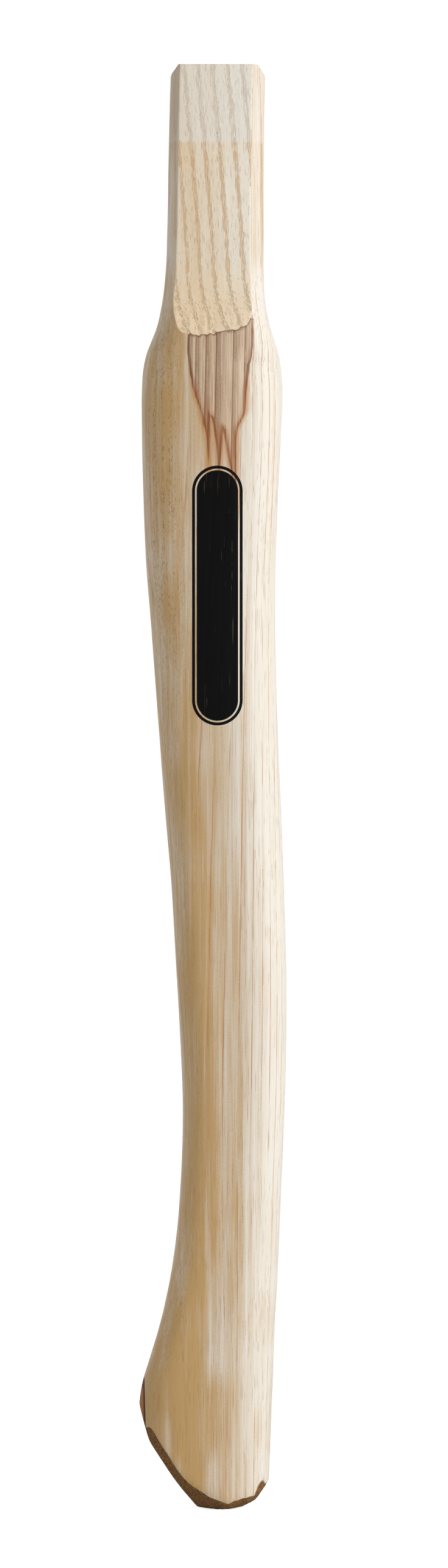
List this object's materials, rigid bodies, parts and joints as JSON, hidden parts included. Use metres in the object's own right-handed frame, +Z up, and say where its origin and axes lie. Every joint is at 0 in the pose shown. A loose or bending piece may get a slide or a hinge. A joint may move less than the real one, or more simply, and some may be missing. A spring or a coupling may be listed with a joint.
{
  "type": "curved hammer handle",
  "caption": "Curved hickory hammer handle with an octagonal eye tenon, milled broad faces, a swelled shoulder, a bent grip, a fawn-foot end and a wooden wedge in its kerf.",
  "frame": {"origin": "bottom centre of the bounding box: under the middle of the object, at the level of the lowest point of the foot", "axes": "+Z up along the handle to the eye end; -X towards the belly, the side a hammer's face strikes towards, and +X towards the back; Y through the thickness"},
  "size_m": [0.0468, 0.0278, 0.4572],
  "materials": {
    "hickory": "clear lacquer, bare on the top 25 mm",
    "wedge_wood": "sawn, bare"
  },
  "bodies": {
    "handle": {"handle": "hickory"},
    "wood_wedge": {"wood_wedge": "wedge_wood"}
  },
  "joints": [
    {"name": "wedge_slide", "type": "slide", "parent": "handle", "child": "wood_wedge", "axis": [0, 0, 1], "range_m": [0, 0.05]}
  ]
}
